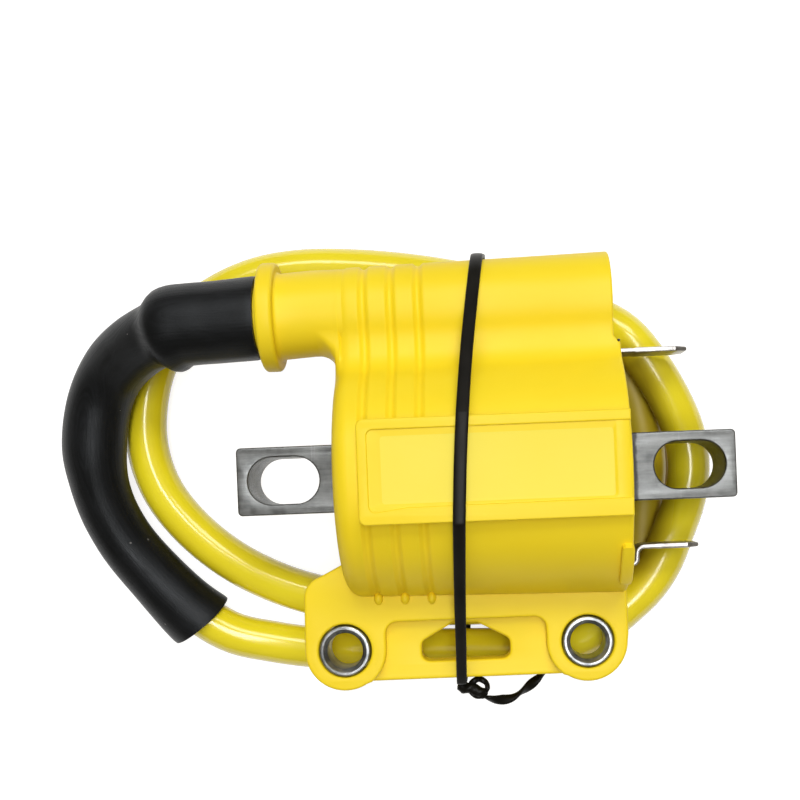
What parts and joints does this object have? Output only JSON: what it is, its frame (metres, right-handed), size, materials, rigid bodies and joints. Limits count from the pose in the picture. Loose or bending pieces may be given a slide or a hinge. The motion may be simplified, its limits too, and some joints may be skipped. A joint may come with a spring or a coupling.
{
  "type": "ignition coil with high-tension lead",
  "caption": "Yellow potted ignition coil on a slotted steel core, with a flange, blade terminals and a sleeved high-tension lead wound round it and tied.",
  "frame": {"origin": "on the surface that the coil's seat pads stand on, under the middle of the box round case and core, without the free lead; the core's own middle is at X +4.0 mm, Y -0.475 mm", "axes": "+X along the core towards the open end with the blades, +Y from the flange to the high-tension tower, +Z from the seat pads to the label frame"},
  "size_m": [0.1085, 0.0765, 0.0389],
  "materials": {
    "case_yellow": "satin moulded",
    "lead_yellow": "glossy silicone",
    "sleeve_black": "satin",
    "tie_black": "satin",
    "core_steel": "pressed sheet, zinc-washed",
    "zinc": "bright zinc plate",
    "tin": "bright tin plate",
    "brass": "turned",
    "copper": "enamelled wire",
    "bobbin": "moulded",
    "wrap": "film",
    "resin": "poured"
  },
  "bodies": {
    "root": {"case": "case_yellow", "core_sheet_1": "core_steel", "core_sheet_2": "core_steel", "core_sheet_3": "core_steel", "core_sheet_4": "core_steel", "core_sheet_5": "core_steel", "core_sheet_6": "core_steel", "bushing_left": "zinc", "bushing_right": "zinc", "signal_terminal": "tin", "ground_terminal": "tin", "potting_resin": "resin", "primary_bobbin": "bobbin", "primary_winding": "copper", "layer_insulation": "wrap", "secondary_bobbin": "bobbin", "secondary_winding_1": "copper", "secondary_winding_2": "copper", "secondary_winding_3": "copper", "secondary_winding_4": "copper", "secondary_winding_5": "copper", "secondary_winding_6": "copper", "ht_contact": "brass", "ht_link_wire": "copper", "primary_lead_wire": "copper", "ground_lead_wire": "copper", "ht_lead": "lead_yellow", "lead_conductor": "copper", "lead_sleeve": "sleeve_black", "twist_tie": "tie_black"}
  },
  "joints": []
}
